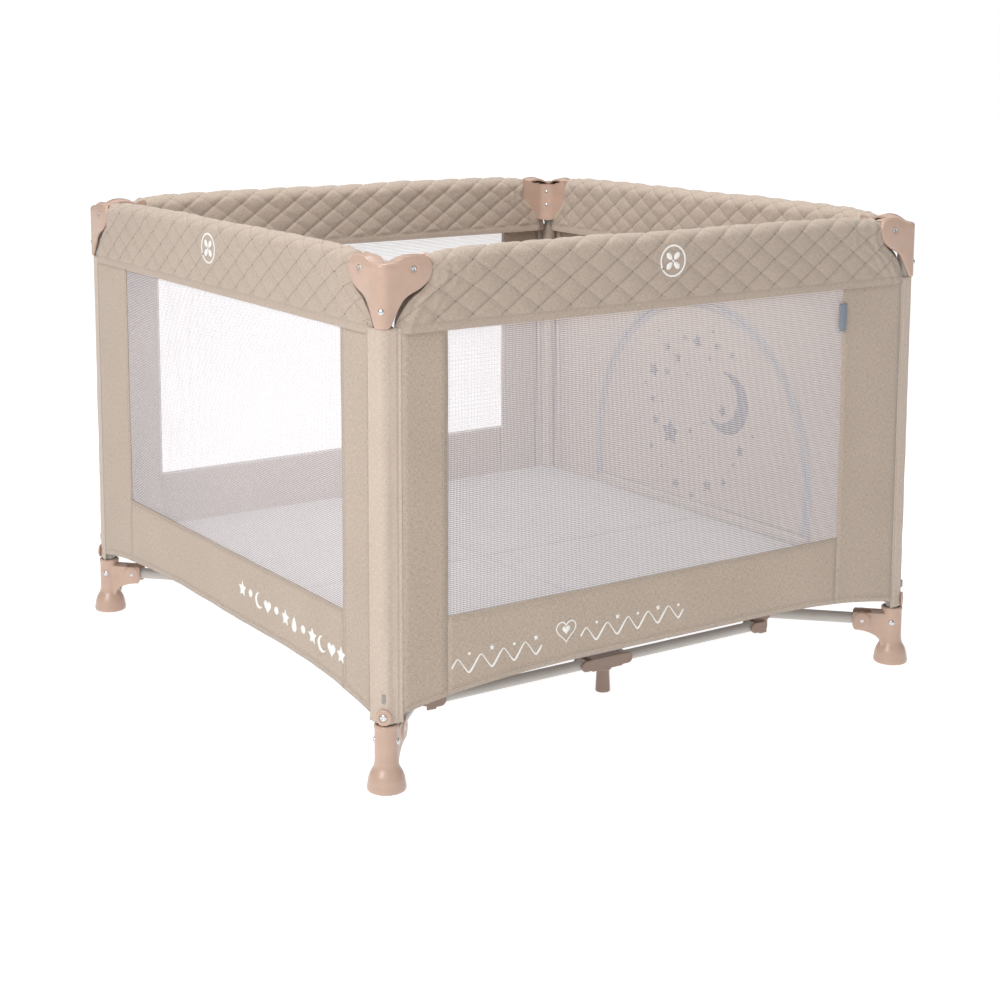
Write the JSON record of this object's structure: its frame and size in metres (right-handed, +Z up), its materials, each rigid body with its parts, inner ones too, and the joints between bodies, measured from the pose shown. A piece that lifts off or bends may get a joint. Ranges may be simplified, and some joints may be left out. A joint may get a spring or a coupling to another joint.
{
  "type": "playpen",
  "caption": "Square folding playpen with mesh and linen walls, padded quilted rails, corner caps and feet, a hub-and-tube base and a zipped arched door.",
  "frame": {"origin": "centre of the footprint on the floor, at the bottom of the feet", "axes": "+Z up; -Y is the front side with the printed skirt; the zipped door is on the +X side"},
  "size_m": [0.993, 0.993, 0.7219],
  "materials": {
    "tube": "satin white powder coat",
    "plastic": "glossy pinkish beige",
    "plastic_dark": "satin brown beige",
    "chrome": "polished",
    "fabric": "melange linen weave",
    "mesh": "fine open mesh",
    "mattress": "padded grey beige",
    "badge": "white print"
  },
  "bodies": {
    "corner_front_left": {"front_left_post": "tube", "front_left_outer_cap": "plastic", "front_left_inner_cap": "plastic", "front_left_foot": "plastic", "front_left_rivets": "chrome", "front_wall": "fabric"},
    "corner_front_right": {"front_right_post": "tube", "front_right_outer_cap": "plastic", "front_right_inner_cap": "plastic", "front_right_foot": "plastic", "front_right_rivets": "chrome", "right_wall": "fabric"},
    "corner_back_right": {"back_right_post": "tube", "back_right_outer_cap": "plastic", "back_right_inner_cap": "plastic", "back_right_foot": "plastic", "back_right_rivets": "chrome", "back_wall": "fabric"},
    "corner_back_left": {"back_left_post": "tube", "back_left_outer_cap": "plastic", "back_left_inner_cap": "plastic", "back_left_foot": "plastic", "back_left_rivets": "chrome", "left_wall": "fabric"},
    "front_rail_a": {"front_rail_a": "tube"},
    "front_rail_b": {"front_rail_b": "tube"},
    "front_latch": {"front_latch": "plastic_dark"},
    "front_button": {"front_button": "plastic_dark"},
    "front_left_base": {"front_left_base_tube": "tube", "front_left_floor_pad": "mattress"},
    "front_left_saddle": {"front_left_saddle": "plastic_dark"},
    "right_rail_a": {"right_rail_a": "tube"},
    "right_rail_b": {"right_rail_b": "tube"},
    "right_latch": {"right_latch": "plastic_dark"},
    "right_button": {"right_button": "plastic_dark"},
    "front_right_base": {"front_right_base_tube": "tube", "front_right_floor_pad": "mattress"},
    "front_right_saddle": {"front_right_saddle": "plastic_dark"},
    "back_rail_a": {"back_rail_a": "tube"},
    "back_rail_b": {"back_rail_b": "tube"},
    "back_latch": {"back_latch": "plastic_dark"},
    "back_button": {"back_button": "plastic_dark"},
    "back_right_base": {"back_right_base_tube": "tube", "back_right_floor_pad": "mattress"},
    "back_right_saddle": {"back_right_saddle": "plastic_dark"},
    "left_rail_a": {"left_rail_a": "tube"},
    "left_rail_b": {"left_rail_b": "tube"},
    "left_latch": {"left_latch": "plastic_dark"},
    "left_button": {"left_button": "plastic_dark"},
    "back_left_base": {"back_left_base_tube": "tube", "back_left_floor_pad": "mattress"},
    "back_left_saddle": {"back_left_saddle": "plastic_dark"},
    "front_cross_a": {"front_cross_a": "tube"},
    "front_cross_b": {"front_cross_b": "tube"},
    "front_middle_leg": {"front_middle_leg": "plastic_dark"},
    "back_cross_a": {"back_cross_a": "tube"},
    "back_cross_b": {"back_cross_b": "tube"},
    "back_middle_leg": {"back_middle_leg": "plastic_dark"},
    "centre_hub": {"centre_hub": "plastic_dark"},
    "door_panel": {"door_panel": "fabric"}
  },
  "joints": [
    {"name": "fold", "type": "hinge", "parent": "corner_front_left", "child": "front_rail_a", "pos_m": [-0.434, -0.47, 0.697], "axis": [0, 1, 0], "range_deg": [0, 84], "deforming": ["front_left_floor_pad", "front_right_floor_pad", "back_right_floor_pad", "back_left_floor_pad", "front_wall", "right_wall", "back_wall", "left_wall", "door_panel"]},
    {"name": "front_latch_a", "type": "hinge", "parent": "front_rail_a", "child": "front_latch", "pos_m": [-0.064, -0.47, 0.697], "axis": [0, 1, 0], "range_deg": [-84, 0]},
    {"name": "front_latch_b", "type": "hinge", "parent": "front_latch", "child": "front_rail_b", "pos_m": [0.064, -0.47, 0.697], "axis": [0, 1, 0], "range_deg": [-84, 0]},
    {"name": "front_cap_b", "type": "hinge", "parent": "front_rail_b", "child": "corner_front_right", "pos_m": [0.434, -0.47, 0.697], "axis": [0, 1, 0], "range_deg": [0, 84]},
    {"name": "right_cap_a", "type": "hinge", "parent": "corner_front_right", "child": "right_rail_a", "pos_m": [0.47, -0.434, 0.697], "axis": [-1, 0, 0], "range_deg": [0, 84]},
    {"name": "right_latch_a", "type": "hinge", "parent": "right_rail_a", "child": "right_latch", "pos_m": [0.47, -0.064, 0.697], "axis": [-1, 0, 0], "range_deg": [-84, 0]},
    {"name": "right_latch_b", "type": "hinge", "parent": "right_latch", "child": "right_rail_b", "pos_m": [0.47, 0.064, 0.697], "axis": [-1, 0, 0], "range_deg": [-84, 0]},
    {"name": "right_cap_b", "type": "hinge", "parent": "right_rail_b", "child": "corner_back_right", "pos_m": [0.47, 0.434, 0.697], "axis": [-1, 0, 0], "range_deg": [0, 84]},
    {"name": "left_cap_b", "type": "hinge", "parent": "corner_front_left", "child": "left_rail_b", "pos_m": [-0.47, -0.434, 0.697], "axis": [1, 0, 0], "range_deg": [-84, 0]},
    {"name": "left_latch_b", "type": "hinge", "parent": "left_rail_b", "child": "left_latch", "pos_m": [-0.47, -0.064, 0.697], "axis": [1, 0, 0], "range_deg": [0, 84]},
    {"name": "left_latch_a", "type": "hinge", "parent": "left_latch", "child": "left_rail_a", "pos_m": [-0.47, 0.064, 0.697], "axis": [1, 0, 0], "range_deg": [0, 84]},
    {"name": "left_cap_a", "type": "hinge", "parent": "left_rail_a", "child": "corner_back_left", "pos_m": [-0.47, 0.434, 0.697], "axis": [1, 0, 0], "range_deg": [-84, 0]},
    {"name": "back_cap_a", "type": "hinge", "parent": "corner_back_right", "child": "back_rail_a", "pos_m": [0.434, 0.47, 0.697], "axis": [0, -1, 0], "range_deg": [0, 84]},
    {"name": "back_latch_a", "type": "hinge", "parent": "back_rail_a", "child": "back_latch", "pos_m": [0.064, 0.47, 0.697], "axis": [0, -1, 0], "range_deg": [-84, 0]},
    {"name": "back_cap_b", "type": "hinge", "parent": "corner_back_left", "child": "back_rail_b", "pos_m": [-0.434, 0.47, 0.697], "axis": [0, -1, 0], "range_deg": [-84, 0]},
    {"name": "front_left_base_pivot", "type": "hinge", "parent": "corner_front_left", "child": "front_left_base", "pos_m": [-0.43747, -0.43747, 0.067], "axis": [0.7071, -0.7071, 0], "range_deg": [0, 84]},
    {"name": "front_left_saddle_pivot", "type": "hinge", "parent": "front_left_base", "child": "front_left_saddle", "pos_m": [-0.32787, -0.32787, 0.067], "axis": [0.7071, -0.7071, 0], "range_deg": [-84, 0]},
    {"name": "front_right_base_pivot", "type": "hinge", "parent": "corner_front_right", "child": "front_right_base", "pos_m": [0.43747, -0.43747, 0.067], "axis": [0.7071, 0.7071, 0], "range_deg": [0, 84]},
    {"name": "front_right_saddle_pivot", "type": "hinge", "parent": "front_right_base", "child": "front_right_saddle", "pos_m": [0.32787, -0.32787, 0.067], "axis": [0.7071, 0.7071, 0], "range_deg": [-84, 0]},
    {"name": "back_right_base_pivot", "type": "hinge", "parent": "corner_back_right", "child": "back_right_base", "pos_m": [0.43747, 0.43747, 0.067], "axis": [-0.7071, 0.7071, 0], "range_deg": [0, 84]},
    {"name": "back_right_saddle_pivot", "type": "hinge", "parent": "back_right_base", "child": "back_right_saddle", "pos_m": [0.32787, 0.32787, 0.067], "axis": [-0.7071, 0.7071, 0], "range_deg": [-84, 0]},
    {"name": "back_left_base_pivot", "type": "hinge", "parent": "corner_back_left", "child": "back_left_base", "pos_m": [-0.43747, 0.43747, 0.067], "axis": [-0.7071, -0.7071, 0], "range_deg": [0, 84]},
    {"name": "back_left_saddle_pivot", "type": "hinge", "parent": "back_left_base", "child": "back_left_saddle", "pos_m": [-0.32787, 0.32787, 0.067], "axis": [-0.7071, -0.7071, 0], "range_deg": [-84, 0]},
    {"name": "hub_pivot", "type": "hinge", "parent": "front_left_base", "child": "centre_hub", "pos_m": [-0.06747, -0.06747, 0.067], "axis": [0.7071, -0.7071, 0], "range_deg": [-84, 0]},
    {"name": "front_cross_a_pivot", "type": "hinge", "parent": "front_left_saddle", "child": "front_cross_a", "pos_m": [-0.29987, -0.32787, 0.048], "axis": [0, 1, 0], "range_deg": [-84, 0]},
    {"name": "front_leg_a_pivot", "type": "hinge", "parent": "front_cross_a", "child": "front_middle_leg", "pos_m": [-0.03947, -0.32787, 0.048], "axis": [0, 1, 0], "range_deg": [0, 84]},
    {"name": "front_leg_b_pivot", "type": "hinge", "parent": "front_middle_leg", "child": "front_cross_b", "pos_m": [0.03947, -0.32787, 0.048], "axis": [0, 1, 0], "range_deg": [0, 84]},
    {"name": "back_cross_a_pivot", "type": "hinge", "parent": "back_right_saddle", "child": "back_cross_a", "pos_m": [0.29987, 0.32787, 0.048], "axis": [0, -1, 0], "range_deg": [-84, 0]},
    {"name": "back_leg_a_pivot", "type": "hinge", "parent": "back_cross_a", "child": "back_middle_leg", "pos_m": [0.03947, 0.32787, 0.048], "axis": [0, -1, 0], "range_deg": [0, 84]},
    {"name": "back_leg_b_pivot", "type": "hinge", "parent": "back_middle_leg", "child": "back_cross_b", "pos_m": [-0.03947, 0.32787, 0.048], "axis": [0, -1, 0], "range_deg": [0, 84]},
    {"name": "front_button_press", "type": "slide", "parent": "front_latch", "child": "front_button", "axis": [0, 1, 0], "range_m": [0, 0.005], "stiffness_N_per_m": 400, "springref_m": -0.002},
    {"name": "right_button_press", "type": "slide", "parent": "right_latch", "child": "right_button", "axis": [-1, 0, 0], "range_m": [0, 0.005], "stiffness_N_per_m": 400, "springref_m": -0.002},
    {"name": "back_button_press", "type": "slide", "parent": "back_latch", "child": "back_button", "axis": [0, -1, 0], "range_m": [0, 0.005], "stiffness_N_per_m": 400, "springref_m": -0.002},
    {"name": "left_button_press", "type": "slide", "parent": "left_latch", "child": "left_button", "axis": [1, 0, 0], "range_m": [0, 0.005], "stiffness_N_per_m": 400, "springref_m": -0.002},
    {"name": "door_open", "type": "hinge", "parent": "corner_front_right", "child": "door_panel", "pos_m": [0.4844, 0, 0.1506], "axis": [0, 1, 0], "range_deg": [0, 95]}
  ],
  "couplings": [
    {"joint": "front_latch_a", "follows": "fold", "ratio": -1},
    {"joint": "front_latch_b", "follows": "fold", "ratio": -1},
    {"joint": "front_cap_b", "follows": "fold", "ratio": 1},
    {"joint": "right_cap_a", "follows": "fold", "ratio": 1},
    {"joint": "right_latch_a", "follows": "fold", "ratio": -1},
    {"joint": "right_latch_b", "follows": "fold", "ratio": -1},
    {"joint": "right_cap_b", "follows": "fold", "ratio": 1},
    {"joint": "left_cap_b", "follows": "fold", "ratio": -1},
    {"joint": "left_latch_b", "follows": "fold", "ratio": 1},
    {"joint": "left_latch_a", "follows": "fold", "ratio": 1},
    {"joint": "left_cap_a", "follows": "fold", "ratio": -1},
    {"joint": "back_cap_a", "follows": "fold", "ratio": 1},
    {"joint": "back_latch_a", "follows": "fold", "ratio": -1},
    {"joint": "back_cap_b", "follows": "fold", "ratio": -1},
    {"joint": "front_left_base_pivot", "follows": "fold", "ratio": 1},
    {"joint": "front_left_saddle_pivot", "follows": "fold", "ratio": -1},
    {"joint": "front_right_base_pivot", "follows": "fold", "ratio": 1},
    {"joint": "front_right_saddle_pivot", "follows": "fold", "ratio": -1},
    {"joint": "back_right_base_pivot", "follows": "fold", "ratio": 1},
    {"joint": "back_right_saddle_pivot", "follows": "fold", "ratio": -1},
    {"joint": "back_left_base_pivot", "follows": "fold", "ratio": 1},
    {"joint": "back_left_saddle_pivot", "follows": "fold", "ratio": -1},
    {"joint": "hub_pivot", "follows": "fold", "ratio": -1},
    {"joint": "front_cross_a_pivot", "follows": "fold", "ratio": -1},
    {"joint": "front_leg_a_pivot", "follows": "fold", "ratio": 1},
    {"joint": "front_leg_b_pivot", "follows": "fold", "ratio": 1},
    {"joint": "back_cross_a_pivot", "follows": "fold", "ratio": -1},
    {"joint": "back_leg_a_pivot", "follows": "fold", "ratio": 1},
    {"joint": "back_leg_b_pivot", "follows": "fold", "ratio": 1}
  ]
}
